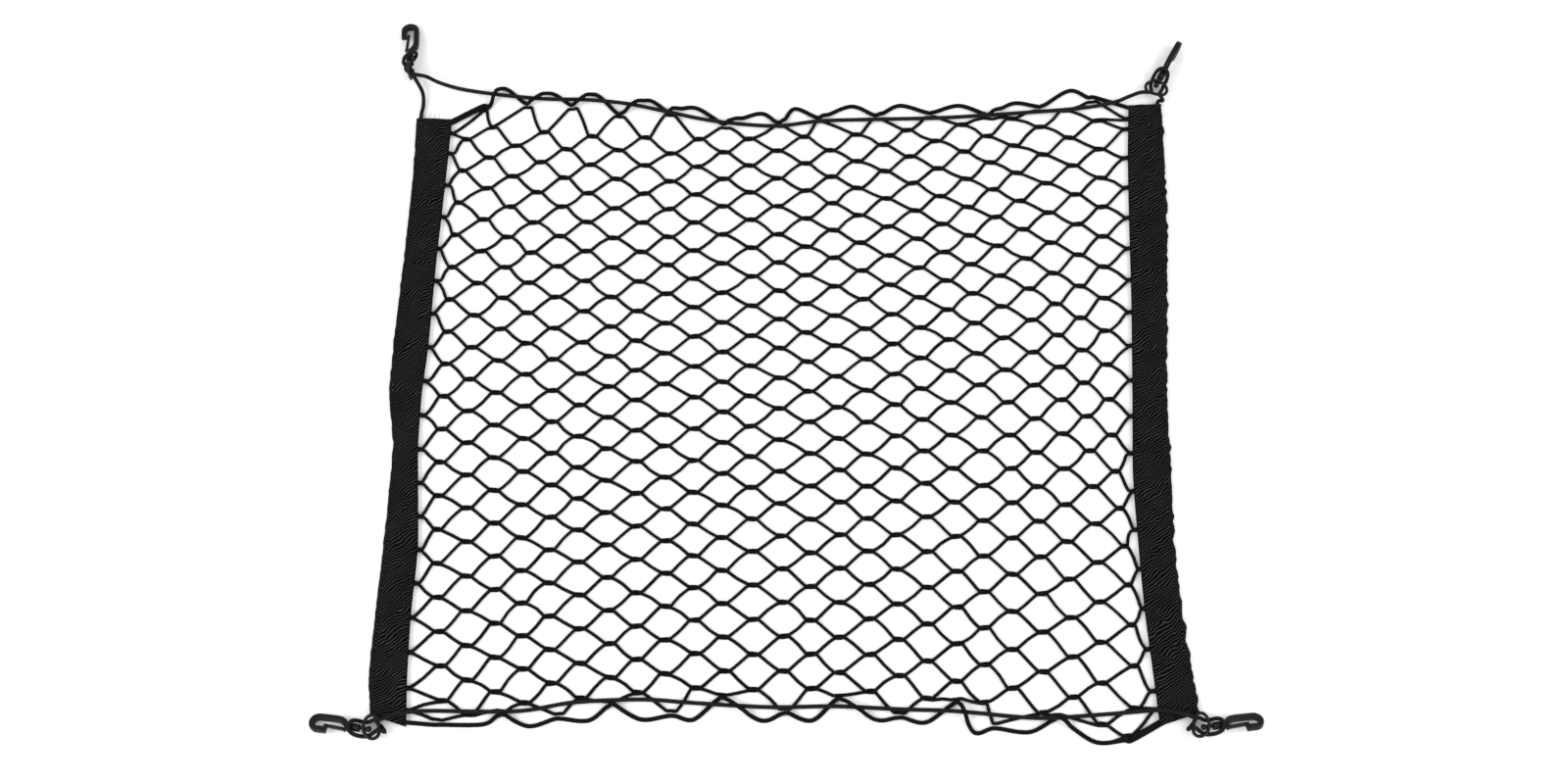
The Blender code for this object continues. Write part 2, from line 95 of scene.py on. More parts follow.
BOTTOM_EDGE = (
    ("end", -0.3930, -0.3455), ("knot", -0.3540, -0.3440), ("crest", -0.3070, -0.3480),
    ("knot", -0.2890, -0.3350), ("crest", -0.2600, -0.3500), ("knot", -0.2300, -0.3380),
    ("crest", -0.1990, -0.3440), ("knot", -0.1760, -0.3250), ("crest", -0.1460, -0.3430),
    ("knot", -0.1150, -0.3350), ("crest", -0.0920, -0.3430), ("knot", -0.0640, -0.3180),
    ("crest", -0.0240, -0.3440), ("knot", 0.0010, -0.3330), ("crest", 0.0290, -0.3440),
    ("knot", 0.0560, -0.3190), ("crest", 0.0930, -0.3430), ("knot", 0.1180, -0.3370),
    ("crest", 0.1450, -0.3460), ("knot", 0.1760, -0.3230), ("crest", 0.1930, -0.3560),
    ("knot", 0.2150, -0.3480), ("crest", 0.2500, -0.3560), ("knot", 0.2790, -0.3390),
    ("crest", 0.3160, -0.3660), ("knot", 0.3500, -0.3600), ("end", 0.3910, -0.3440),
)

# Webbings: a row for each station, far end first (outer x, outer y, inner x, inner y)
WEBBING = {
    "left": (
        (-0.4150, 0.3420, -0.3760, 0.3410), (-0.4150, 0.2700, -0.3790, 0.2700),
        (-0.4190, 0.1700, -0.3840, 0.1690), (-0.4240, 0.0700, -0.3870, 0.0700),
        (-0.4250, 0.0100, -0.3910, 0.0120), (-0.4175, -0.0450, -0.3915, -0.0450),
        (-0.4180, -0.0900, -0.3890, -0.0900), (-0.4205, -0.1600, -0.3850, -0.1600),
        (-0.4240, -0.2300, -0.3880, -0.2310), (-0.4265, -0.3000, -0.3880, -0.3010),
        (-0.4225, -0.3380, -0.3860, -0.3500),
    ),
    "right": (
        (0.4275, 0.3600, 0.3910, 0.3590), (0.4270, 0.3000, 0.3870, 0.3000),
        (0.4255, 0.2200, 0.3840, 0.2200), (0.4195, 0.1200, 0.3810, 0.1200),
        (0.4125, 0.0100, 0.3760, 0.0100), (0.4115, -0.0800, 0.3715, -0.0800),
        (0.4100, -0.1600, 0.3730, -0.1600), (0.4135, -0.2300, 0.3755, -0.2300),
        (0.4210, -0.3050, 0.3810, -0.3050), (0.4245, -0.3360, 0.3840, -0.3490),
    ),
}

# Half the height of a folded webbing, half the flat tape's map, and the flat tape's width
FOLDED_HALF, TAPE_HALF, FLAT_TAPE = 0.0035, 0.038, 0.075
TAPE_COLUMNS = 44

# Loose threads at the left webbing's far end: distance from its outer edge, lean and length past it
THREADS = (
    (0.009, -0.0010, 0.0050), (0.015, 0.0014, 0.0075), (0.021, -0.0008, 0.0060), (0.025, 0.0018, 0.0080),
)
THREAD_ROOT, THREAD_HEIGHT, THREAD_SAG, THREAD_RADIUS = 0.004, 0.0071, 0.002, 0.00018

# Puckers of each webbing: their height, pitch along it, slant across it and edge scallops
PUCKERS = {
    "left": {"height": 0.0006, "pitch": 0.0190, "slant": -0.5, "scallop": 0.0010, "seed": 3.0},
    "right": {"height": 0.0014, "pitch": 0.0150, "slant": 0.9, "scallop": 0.0026, "seed": 11.0},
}

# ---- Elastic: heights of its centre, then its route (x, y, height) between the corners ----

ON_NET, ON_WEB, IN_WEB, IN_WEB_INSET = 0.0054, 0.0098, 0.0035, 0.0048
FROM_LEFT_WEB = (
    (-0.4100, 0.3480, IN_WEB), (-0.4083, 0.3600, 0.0040), (-0.4098, 0.3750, 0.0062),
)
FAR_RUN = (
    (-0.4055, 0.3905, 0.0148), (-0.3900, 0.3850, 0.0098), (-0.3640, 0.3790, ON_NET),
    (-0.3200, 0.3720, ON_NET), (-0.2700, 0.3670, ON_NET), (-0.2250, 0.3660, ON_NET),
    (-0.1780, 0.3610, ON_NET), (-0.1290, 0.3500, ON_NET), (-0.0900, 0.3410, ON_NET),
    (-0.0470, 0.3350, ON_NET), (-0.0050, 0.3330, ON_NET), (0.0410, 0.3390, ON_NET),
    (0.1000, 0.3410, ON_NET), (0.1760, 0.3430, ON_NET), (0.2510, 0.3480, ON_NET),
    (0.3330, 0.3550, ON_NET), (0.3720, 0.3615, 0.0070), (0.3900, 0.3680, 0.0090),
    (0.4030, 0.3710, 0.0135),
)
TO_RIGHT_WEB = ((0.4272, 0.3642, 0.0112), (0.4285, 0.3640, 0.0066), (0.4240, 0.3650, IN_WEB))
FROM_RIGHT_WEB = (
    (0.4190, -0.3430, IN_WEB), (0.4150, -0.3495, 0.0048), (0.4098, -0.3548, 0.0100),
)
NEAR_RUN = (
    (0.4080, -0.3400, 0.0150), (0.3970, -0.3365, 0.0105), (0.3840, -0.3350, ON_WEB),
    (0.3740, -0.3350, 0.0090), (0.3590, -0.3360, 0.0068), (0.3180, -0.3390, ON_NET),
    (0.2720, -0.3420, ON_NET), (0.2390, -0.3410, ON_NET), (0.1750, -0.3350, ON_NET),
    (0.1170, -0.3330, ON_NET), (0.0530, -0.3300, ON_NET), (-0.0080, -0.3310, ON_NET),
    (-0.0540, -0.3290, ON_NET), (-0.1000, -0.3260, ON_NET), (-0.1460, -0.3230, ON_NET),
    (-0.2150, -0.3260, ON_NET), (-0.2720, -0.3350, ON_NET), (-0.3580, -0.3350, 0.0068),
    (-0.3740, -0.3360, 0.0090), (-0.3840, -0.3370, ON_WEB), (-0.3980, -0.3400, 0.0115),
)
TO_LEFT_WEB = (
    (-0.4050, -0.3575, 0.0105), (-0.4092, -0.3515, 0.0050), (-0.4150, -0.3450, IN_WEB),
)
# Stretches inside the webbings: y at the start and the end, and the steps between them
FROM_JOIN, THROUGH_RIGHT, TO_JOIN = (-0.0300, 0.3360, 8), (0.3520, -0.3290, 12), (-0.3290, -0.0310, 9)
ELASTIC_SPACING = 0.0026

# The hitch: over the eye's bar, down through it, along the barrel and over the neck, in millimetres
HITCH_IN_EYE = (
    (-16.2, 4.8, 5.0), (-12.2, 5.8, 4.2), (-8.4, 6.5, 0.0), (-5.4, 6.8, -4.2), (-1.0, 7.2, -5.8),
)
HITCH_ON_HOOK = ((4.2, 7.4, -4.0), (9.4, 7.0, 1.4), (13.0, 4.6, 5.4))
HITCH_END = (14.2, 0.0, 7.3)

# ---- Hooks: swivel point in net coordinates, then azimuth, pitch and roll of hook and of eye ----

CORNERS = {
    "far_left": ((-0.4250, 0.4070, 0.0146), (94.0, -11.3, 0.0), (94.0, 0.0, 90.0)),
    "far_right": ((0.4240, 0.3860, 0.0112), (61.0, -1.4, -90.0), (74.0, 8.0, 0.0)),
    "near_right": ((0.4310, -0.3520, 0.0113), (7.0, -4.2, 150.0), (-12.0, 0.0, 0.0)),
    "near_left": ((-0.4265, -0.3540, 0.0110), (172.0, -5.4, 18.0), (190.0, 0.0, 0.0)),
}
PIN_RADIUS, HEAD_RADIUS, HEAD_AT = 1.6, 3.2, -5.2
BARREL_RADIUS, BARREL_START, NECK_END = 4.2, 4.0, 17.4
BODY_THICK, BODY_HALF, BODY_SLOT, CROWN_AT, NOSE_AT = 6.5, 10.0, 4.0, 47.5, 37.6
GATE_THICK, GATE_ROOT, GATE_TIP = 4.6, 20.0, 41.6
EYE_WIRE, EYE_HALF, EYE_BAR_AT = 1.8, 12.0, -15.2
SOCKET_BORE, SOCKET_RADIUS, SOCKET_HALF = 2.8, 4.9, 1.5

# ---- Stage ----

CAMERA_OFFSET = Vector((0.0, -0.808, 2.200))
CAMERA_TILT = math.radians(20.5)
SKY_STRENGTH = 0.78
FLOOR_HALF, FLOOR_DROP = 6.0, 0.0002
# Soft lights: name, place, power in watts and side in metres
LAMPS = (
    ("soft_left", (-2.4, -0.9, 2.3), 62.0, 1.8),
    ("soft_right", (2.5, -0.4, 2.2), 48.0, 2.0),
    ("soft_near", (0.2, -2.8, 2.4), 27.0, 1.9),
)


# ---- What a user can change ----


class CargoNetSizes(bpy.types.PropertyGroup):
    """Sizes of the cords, tape and detail."""

    cord_radius: FloatProperty(
        name="Netting cord", description="Radius of the netting's cord", default=0.00180,
        subtype="DISTANCE", unit="LENGTH",
    )
    edge_radius: FloatProperty(
        name="Edge cord", description="Radius of the cord along the netting's two free edges",
        default=0.0023, subtype="DISTANCE", unit="LENGTH",
    )
    knot_length: FloatProperty(
        name="Knot", description="Length over which two cords are knitted together", default=0.0116,
        subtype="DISTANCE", unit="LENGTH",
    )
    knot_spread: FloatProperty(
        name="Knot spread", description="Distance of each cord from the middle of a knot",
        default=0.0012, subtype="DISTANCE", unit="LENGTH",
    )
    slack: FloatProperty(
        name="Slack", description="How far a leg of the netting strays sideways", default=0.0013,
        subtype="DISTANCE", unit="LENGTH",
    )
    elastic_radius: FloatProperty(
        name="Elastic", description="Radius of the elastic cord", default=0.0022,
        subtype="DISTANCE", unit="LENGTH",
    )
    tape_layer: FloatProperty(
        name="Tape", description="Thickness of one layer of webbing", default=0.0012,
        subtype="DISTANCE", unit="LENGTH",
    )
    tape_rows: IntProperty(
        name="Tape rows", description="Divisions along each webbing", default=300, min=50,
    )
    moulding_edge: FloatProperty(
        name="Moulding edge", description="Rounding of the hooks' edges", default=0.0013,
        subtype="DISTANCE", unit="LENGTH",
    )


class CargoNetColours(bpy.types.PropertyGroup):
    """Colours of the cords, tape, plastic and floor."""

    cord: FloatVectorProperty(
        name="Cord", description="Netting cord", default=(0.0020, 0.0020, 0.0021), size=3,
        subtype="COLOR",
    )
    tape: FloatVectorProperty(
        name="Webbing", description="Folded webbing", default=(0.0011, 0.0010, 0.0010), size=3,
        subtype="COLOR",
    )
    sheath: FloatVectorProperty(
        name="Sheath", description="Braided sheath of the elastic", default=(0.0026, 0.0026, 0.0028),
        size=3, subtype="COLOR",
    )
    plastic: FloatVectorProperty(
        name="Plastic", description="Moulded hooks and eyes", default=(0.0020, 0.0020, 0.0022),
        size=3, subtype="COLOR",
    )
    floor: FloatVectorProperty(
        name="Floor", description="Surface the net lies on", default=(0.90, 0.90, 0.90), size=3,
        subtype="COLOR",
    )


# ---- Materials ----

TWILL_PITCH, WARP_PITCH, CHEVRON_AT = 0.0036, 0.0012, 0.011
BRAID_PITCH, CORD_PITCH = 0.0032, 0.0030


class Value:
    """A shader socket; Python's operators on it add Math nodes."""

    def __init__(self, finish, socket):
        self.finish = finish
        self.socket = socket

    def math(self, operation, *others):
        return self.finish.node(
            "ShaderNodeMath", {"operation": operation}, dict(enumerate((self, *others)))
        )

    def __add__(self, other):
        return self.math("ADD", other)

    def __sub__(self, other):
        return self.math("SUBTRACT", other)

    def __rsub__(self, other):
        return self.math("MULTIPLY_ADD", -1.0, other)

    def __mul__(self, other):
        return self.math("MULTIPLY", other)

    def sine(self):
        return self.math("SINE")

    def greatest(self, other):
        return self.math("MAXIMUM", other)

    def power(self, exponent):
        return self.math("POWER", exponent)

    __radd__ = __add__
    __rmul__ = __mul__


class Finish:
    """A material and its nodes."""

    def __init__(self, name, roughness, specular=0.5):
        self.material = bpy.data.materials.new(name)
        self.material.use_nodes = True
        self.tree = self.material.node_tree
        self.shader = self.tree.nodes["Principled BSDF"]
        self.shader.inputs["Roughness"].default_value = roughness
        self.shader.inputs["Specular IOR Level"].default_value = specular

    def node(self, kind, settings=None, values=None, output=0):
        made = self.tree.nodes.new(kind)
        for key, value in (settings or {}).items():
            if key == "stops":
                ramp = made.color_ramp
                ramp.elements[0].position, ramp.elements[0].color = value[0]
                ramp.elements[1].position, ramp.elements[1].color = value[-1]
                for position, colour in value[1:-1]:
                    ramp.elements.new(position).color = colour
            else:
                setattr(made, key, value)
        for key, value in (values or {}).items():
            self.join(value, made.inputs[key])
        return Value(self, made.outputs[output])

    def join(self, value, socket):
        if isinstance(value, Value):
            self.tree.links.new(value.socket, socket)
        else:
            socket.default_value = value

    def place(self):
        """Object coordinates."""
        return self.node("ShaderNodeTexCoord", output="Object")

    def along(self):
        """The piece's own map: distance round or across it, and distance along it, in metres."""
        chart = self.node("ShaderNodeUVMap", {"uv_map": "lay"})
        return [self.node("ShaderNodeSeparateXYZ", values={0: chart}, output=axis) for axis in (0, 1)]

    def cloud(self, scale, detail=2.0, roughness=0.5):
        """Soft noise from 0 to 1 on Object coordinates."""
        return self.node(
            "ShaderNodeTexNoise", {"noise_dimensions": "3D"},
            {"Vector": self.place(), "Scale": scale, "Detail": detail, "Roughness": roughness},
        )

    def mix(self, factor, first, second):
        return self.node("ShaderNodeMix", {"data_type": "RGBA"}, {0: factor, 6: first, 7: second}, 2)

    def shade(self, colour, gain, factor):
        """The colour, and that many times lighter as factor goes from 0 to 1."""
        return self.mix(factor, (*colour, 1.0), (*[min(c * gain, 1.0) for c in colour], 1.0))

    def colour(self, value):
        self.join(value, self.shader.inputs["Base Color"])

    def roughness(self, value):
        self.join(value, self.shader.inputs["Roughness"])

    def relief(self, height, distance, strength=1.0):
        bump = self.node(
            "ShaderNodeBump", values={"Height": height, "Distance": distance, "Strength": strength}
        )
        self.join(bump, self.shader.inputs["Normal"])


def cord_finish(name, colour):
    """Laid cord: ribs wind round it; its rib crests and specks of fibre carry painted glints, lightened
    in its colour.
    """
    finish = Finish(name, 0.8, 0.03)
    around, along = finish.along()
    ribs = (along * (math.tau / CORD_PITCH) + around * 2.0 * math.tau).sine() * 0.5 + 0.5
    fibres = finish.cloud(900.0, 2.0)
    fibre_glints = fibres.power(3.0) * 2.0
    # Painted highlight: rib crests and fibre specks up to nine times lighter in the colour, as glints.
    finish.colour(finish.shade(colour, 9.0, ribs * 0.35 + fibre_glints * 0.65))
    finish.roughness(0.95 - ribs * 0.15)
    finish.relief(ribs + fibres * 0.6, 0.0012)
    return finish.material


def twill_finish(name, colour):
    """Twill tape: diagonal ribs that waver with its puckers and turn to a chevron at its selvedges; their
    crests carry painted glints in uneven patches.
    """
    finish = Finish(name, 0.85, 0.03)
    across, along = finish.along()
    waver = finish.cloud(48.0, 2.0) * 0.0130 + finish.cloud(260.0, 1.0) * 0.0016
    turn = (across.math("ABSOLUTE") - CHEVRON_AT).math("ABSOLUTE")
    ribs = ((along + turn * 0.9 + waver) * (math.tau / TWILL_PITCH)).sine() * 0.5 + 0.5
    warp = (across * (math.tau / WARP_PITCH)).sine() * 0.5 + 0.5
    # Patches where the painted glints on the rib crests are stronger.
    glint_patches = finish.cloud(55.0, 4.0, 0.6)
    fuzz = finish.cloud(900.0, 2.0)
    crest = ribs.power(4.0)
    # Painted highlight: rib crests up to 46 times lighter in the colour, as glints, stronger in patches.
    finish.colour(finish.shade(colour, 46.0, crest * (glint_patches * 1.2 + 0.3)))
    finish.roughness(0.95 - crest * 0.25)
    finish.relief(ribs * 0.85 + warp * 0.15 + fuzz * 0.25, 0.0018)
    return finish.material


def sheath_finish(name, colour):
    """Braided sheath: two sets of strands that cross round the cord, with painted sheen on the strands'
    crests.
    """
    finish = Finish(name, 0.55, 0.10)
    around, along = finish.along()
    lengthwise = along * (math.tau / BRAID_PITCH)
    right = (lengthwise + around * (3.0 * math.tau)).sine()
    left = (lengthwise - around * (3.0 * math.tau)).sine()
    braid = right.greatest(left) * 0.5 + 0.5
    fibres = finish.cloud(1600.0, 2.0)
    # Painted sheen: braid crests up to three times lighter, mixed with uneven tone of the fibres.
    finish.colour(finish.shade(colour, 3.0, braid * 0.7 + fibres * 0.3))
    finish.roughness(0.72 - braid * 0.22)
    finish.relief(braid + fibres * 0.3, 0.0004)
    return finish.material


def plastic_finish(name, colour):
    """Moulded plastic: fine spark grain, dull rubs and a faint flow in its colour."""
    finish = Finish(name, 0.30, 0.20)
    grain = finish.cloud(2600.0, 2.0)
    rubs = finish.cloud(120.0, 4.0, 0.65)
    finish.colour(finish.shade(colour, 2.0, rubs))
    finish.roughness(0.26 + rubs * 0.22 + grain * 0.06)
    finish.relief(grain * 0.5 + rubs * 0.5, 0.00015)
    return finish.material


def floor_finish(name, colour):
    finish = Finish(name, 0.9, 0.1)
    finish.colour(finish.shade(colour, 1.01, finish.cloud(3.0)))
    return finish.material


def finishes():
    """Every material by its slot's name, made once."""
    colours = bpy.context.scene.cargo_net_colours
    makers = {
        "netting_cord": lambda name: cord_finish(name, colours.cord),
        "webbing_twill": lambda name: twill_finish(name, colours.tape),
        "elastic_sheath": lambda name: sheath_finish(name, colours.sheath),
        "moulded_plastic": lambda name: plastic_finish(name, colours.plastic),
        "pale_floor": lambda name: floor_finish(name, colours.floor),
    }
    return {
        name: bpy.data.materials.get(f"{name}_look") or make(f"{name}_look")
        for name, make in makers.items()
    }


# ---- Pieces, routes and tubes ----


def add_piece(name, mesh, slot, body, stands_for=()):
    """A finished piece on its body, in place of the CAD nodes that it shows better."""
    piece = bpy.data.objects.new(name, mesh)
    bpy.context.collection.objects.link(piece)
    mesh.materials.clear()
    mesh.materials.append(finishes()[slot])
    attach(piece, body)
    if stands_for:
        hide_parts(*stands_for)
    return piece


def mesh_from(bm, name, sharp=None):
    mesh = bpy.data.meshes.new(name)
    bm.to_mesh(mesh)
    bm.free()
    mesh.shade_smooth()
    if sharp is not None:
        mesh.set_sharp_from_angle(angle=math.radians(sharp))
    return mesh


def catmull_rom(before, start, end, after, t):
    """The place at t, from 0 to 1, on a smooth curve from start to end."""
    return 0.5 * (2 * start + (end - before) * t
                  + (2 * before - 5 * start + 4 * end - after) * t ** 2
                  + (3 * start - before - 3 * end + after) * t ** 3)


def smooth_route(points, steps):
    """Points along a Catmull-Rom curve through the given ones, with that many steps for each."""
    points = [Vector(p) for p in points]
    ends = [2 * points[0] - points[1], *points, 2 * points[-1] - points[-2]]
    route = []
    for corners in zip(ends, ends[1:], ends[2:], ends[3:]):
        route += [catmull_rom(*corners, step / steps) for step in range(steps)]
    return [*route, points[-1]]


def evenly(route, spacing):
    """The route again, at points that lie one spacing apart."""
    even, left = [route[0]], spacing
    for start, end in zip(route, route[1:]):
        length, done = (end - start).length, 0.0
        while length - done > left:
            done += left
            even.append(start.lerp(end, done / length))
            left = spacing
        left -= length - done
    even.append(route[-1])
    return even


def tubes(name, routes, radius, sides):
    """One mesh of round cords along routes, with its lay map: turns round, metres along."""
    curve = bpy.data.curves.new(name, "CURVE")
    curve.dimensions = "3D"
    curve.bevel_depth = radius
    curve.bevel_resolution = (sides - 4) // 2
    curve.use_fill_caps = True
    for route in routes:
        spline = curve.splines.new("POLY")
        spline.points.add(len(route) - 1)
        for point, place in zip(spline.points, route):
            point.co = (*place, 1.0)
    guide = bpy.data.objects.new(name, curve)
    bpy.context.collection.objects.link(guide)
    mesh = bpy.data.meshes.new_from_object(guide)
    bpy.data.objects.remove(guide)
    mesh.name = name
    chart_tubes(mesh, routes, sides)
    mesh.shade_smooth()
    return mesh


def chart_tubes(mesh, routes, sides):
    """Writes the lay map of cords whose rings follow their routes' points in order."""
    reach = []
    for route in routes:
        done = 0.0
        for here, after in zip(route, [*route[1:], route[-1]]):
            reach += [done] * sides
            done += (after - here).length
    bm = bmesh.new()
    bm.from_mesh(mesh)
    bm.verts.ensure_lookup_table()
    for layer in list(bm.loops.layers.uv):
        bm.loops.layers.uv.remove(layer)
    chart = bm.loops.layers.uv.new("lay")
    for face in bm.faces:
        turns = [loop.vert.index % sides for loop in face.loops]
        wraps = max(turns) - min(turns) > sides // 2
        for loop, turn in zip(face.loops, turns):
            around = turn / sides + (1.0 if wraps and turn < sides // 2 else 0.0)
            loop[chart].uv = (around, reach[loop.vert.index] if loop.vert.index < len(reach) else 0.0)
    bm.to_mesh(mesh)
    bm.free()


# ---- Netting ----


def wobble(column, row, turn):
    """A small even stray from -1 to 1 that depends on the knot's place only."""
    return math.sin(12.99 * column + 78.23 * row + turn) * math.cos(4.7 * column - 3.1 * row + turn)


def inner_edge(side, y):
    """x of a webbing's inner edge at a given y."""
    stations = WEBBING[side]
    for (_, _, x0, y0), (_, _, x1, y1) in zip(stations, stations[1:]):
        if y >= y1:
            return x0 + (x1 - x0) * (y0 - y) / (y0 - y1)
    return stations[-1][2]


def knot(column, row):
    """Place of a knot of the laid net. Rows count down from the far edge."""
    if row <= 0 or row >= ROWS:
        _, x, y = (TOP_EDGE if row <= 0 else BOTTOM_EDGE)[column]
        return Vector((x, y, 0.0))
    u = 2 * column / COLUMNS - 1
    v = 2 * row / ROWS - 1
    x = DRIFT_X + SLANT_X * v + u * (HALF_WIDTH - SIDE_PULL * v * v - CROWDING * u * u)
    y = MIDDLE_Y - v * (HALF_LENGTH + CORNER_REACH * u * u) - ROW_SAG * v * v
    y += u * (TILT - FAN * v - TWIST * v * v) - BOW * u * u
    x += WOBBLE * wobble(column, row, 0.0) + RIGHT_CURVE * max(u, 0.0) ** 8 * (0.6 - (1 - v * v) ** 2)
    y += WOBBLE * wobble(column, row, 2.0)
    if column in (0, COLUMNS):
        side = "left" if column == 0 else "right"
        y = min(max(y, WEBBING[side][-1][3] + SEWN_IN), WEBBING[side][0][3] - SEWN_IN)
        x = inner_edge(side, y)
    return Vector((x, y, 0.0))


def knot_of(column, line):
    """The knot that a line's cord passes in a column, and whether it hangs under it."""
    upper = (column - line) % 2 == 1
    return knot(column, line if upper else line + 1), upper


def netting_route(line, sizes, stray):
    """A cord that zigzags from webbing to webbing between two half rows, through their knots."""
    radius = sizes.cord_radius
    route = []
    previous = None
    for column in range(COLUMNS + 1):
        place, upper = knot_of(column, line)
        shift = -sizes.knot_spread if upper else sizes.knot_spread
        if column in (0, COLUMNS):
            inward = 1 if column == 0 else -1
            sewn = place + Vector((-inward * TUCK, shift, TUCK_HEIGHT))
            mouth = place + Vector((inward * 0.001, shift, radius + 0.0016))
            stub = place + Vector((inward * stray.uniform(0.004, 0.008), shift, radius))
            here = [sewn, mouth, stub][::inward]
        else:
            beside = [knot_of(column + step, line)[0].x for step in (-1, 1)]
            room = min(place.x - beside[0], beside[1] - place.x)
            half = min(sizes.knot_length / 2, 0.22 * room)
            tilt = stray.uniform(-0.12, 0.12)
            here = [
                place + Vector((reach, shift + tilt * reach, radius))
                for reach in (-half, -half * 0.4, half * 0.4, half)
            ]
        if previous is not None:
            middle = previous.lerp(here[0], 0.5)
            middle += Vector((stray.uniform(-1, 1), stray.uniform(-1, 1), 0.0)) * sizes.slack
            middle.z = radius + stray.uniform(0.0, 0.0005)
            route.append(middle)
        route += here
        previous = here[-1]
    return [p + NET_CENTRE for p in smooth_route(route, 2)]


def elastic_height(elastic, place):
    """Distance in plan from a place to the elastic, and the elastic's height there."""
    nearest = min(elastic, key=lambda p: (p.xy - place.xy).length_squared)
    return (nearest.xy - place.xy).length, nearest.z


def edge_route(edge, sizes, elastic, outward):
    """The cord along a free edge: round each knot, over the elastic on its way out, and back under it."""
    radius = sizes.edge_radius
    route = []
    for kind, x, y in edge:
        place = Vector((x, y + outward * 1.9 * radius * (kind == "knot"), radius))
        if kind == "end":
            place.z = TUCK_HEIGHT
            route.append(place)
        elif kind == "knot":
            route += [place + Vector((reach, 0.0, 0.0)) for reach in (-EDGE_KNOT_HALF, EDGE_KNOT_HALF)]
        else:
            route.append(place)
    fine = evenly(smooth_route(route, 10), EDGE_SPACING)
    lifted = []
    for before, here in zip([fine[0], *fine], fine):
        apart, height = elastic_height(elastic, here + NET_CENTRE)
        climbs = outward * (here.y - before.y) > 0
        if climbs and apart < CLIMB_REACH:
            top = height + sizes.elastic_radius + radius
            away = max(apart - (CLIMB_REACH - CLIMB_EASE), 0.0) / CLIMB_EASE
            ease = 0.5 + 0.5 * math.cos(math.pi * away)
            here = here.copy()
            here.z = max(here.z, radius + (top - radius) * ease)
        lifted.append(here + NET_CENTRE)
    return smoothed_heights(lifted)


def doubled_stretch(edge, outward):
    """A second cord beside the loose stretch at the far edge's start or the near edge's end."""
    stretch = edge if outward > 0 else edge[::-1]
    beside = Vector((0.0, -DOUBLED_BESIDE * outward, DOUBLED_ABOVE))
    last = DOUBLED_POINTS - 1
    return [
        place + beside * min((last - i) / MERGING_POINTS, 1.0)
        for i, place in enumerate(stretch[:DOUBLED_POINTS])
    ]


def smoothed_heights(route):
    """The same route with its heights averaged a little, so that no step is left in it."""
    heights = [p.z for p in route]
    out = []
    for i, place in enumerate(route):
        around = heights[max(i - 1, 0): i + 2]
        out.append(Vector((place.x, place.y, sum(around) / len(around))))
    return out


class CARGONET_OT_netting(bpy.types.Operator):
    """Knits the netting and its two edge cords"""

    bl_idname = "cargonet.netting"
    bl_label = "Netting"

    def execute(self, context):
        sizes = context.scene.cargo_net_sizes
        stray = random.Random(STRAY_SEED)
        elastic = elastic_route()
        routes = [netting_route(line, sizes, stray) for line in range(ROWS)]
        mesh = tubes("netting", routes, sizes.cord_radius, 6)
        netting = add_piece("netting_cords", mesh, "netting_cord", ROOT, ["netting"])
        edges = [
            edge_route(TOP_EDGE, sizes, elastic, 1),
            edge_route(BOTTOM_EDGE, sizes, elastic, -1),
        ]
        for edge, outward in zip(list(edges), (1, -1)):
            edges.append(doubled_stretch(edge, outward))
        rims = tubes("netting_edges", edges, sizes.edge_radius, 8)
        edging = add_piece("netting_edge_cords", rims, "netting_cord", ROOT)
        return {"FINISHED"}


# ---- Webbings ----


def webbing_edges(side, y):
    """Outer and inner edge points of a webbing at a height y along its inner edge."""
    stations = [Vector(station) for station in WEBBING[side]]
    last = len(stations) - 2
    for i in range(last + 1):
        start, end = stations[i][3], stations[i + 1][3]
        if y >= end or i == last:
            t = (start - y) / (start - end)
            break
    place = stations[i].lerp(stations[i + 1], t)
    if 0 < i < last:
        place = place.lerp(catmull_rom(*stations[i - 1: i + 3], t), 0.6)
    return Vector((place[0], place[1], 0.0)), Vector((place[2], place[3], 0.0))


def folded_place(side, across, along, layer):
    """Where a point of the flat tape lies: across is 0 at the fold and grows to 1 at a selvedge on top
    and to -1 below, along is 0 to 1 from the far end."""
    stations = WEBBING[side]
    y = stations[0][3] + (stations[-1][3] - stations[0][3]) * along
    outer, inner = webbing_edges(side, y)
    over = (inner - outer).normalized()
    width = (inner - outer).length
    pucker = PUCKERS[side]
    reach = abs(across)
    fold_radius = FOLDED_HALF - layer / 2
    turned = min(reach * width / (fold_radius * math.pi / 2), 1.0) * math.pi / 2
    flat = max(reach * width - fold_radius * math.pi / 2, 0.0)
    flat *= (width - fold_radius) / (width - fold_radius * math.pi / 2)
    x = fold_radius * (1 - math.cos(turned)) + flat + layer / 2
    z = fold_radius * math.sin(turned)
    slanted = (y + pucker["slant"] * reach * width * math.copysign(1, across)) / pucker["pitch"]
    ripple = math.sin(math.tau * (slanted + 0.45 * noise.noise(Vector((y * 30, pucker["seed"], 0.0)))))
    swell = 0.5 + 0.5 * noise.noise(Vector((y * 9, reach * 2, pucker["seed"])))
    uneven = noise.noise(Vector((y * 75, pucker["seed"], 0.0))) + 0.6 * noise.noise(
        Vector((y * 170, pucker["seed"], 4.0))
    )
    if across >= 0:
        droop = 0.0008 * max(reach - 0.35, 0.0) / 0.65
        lift = pucker["height"] * (ripple * swell - 0.2) * min(reach * 4, 1.0)
        z = FOLDED_HALF + z - droop + min(lift, 0.0012)
    else:
        z = FOLDED_HALF - z
    x += pucker["scallop"] * uneven * (1 - reach) ** 5
    place = outer + over * x
    place.z = max(z, layer / 2)
    return place


def webbing_length(side):
    return abs(WEBBING[side][0][3] - WEBBING[side][-1][3])


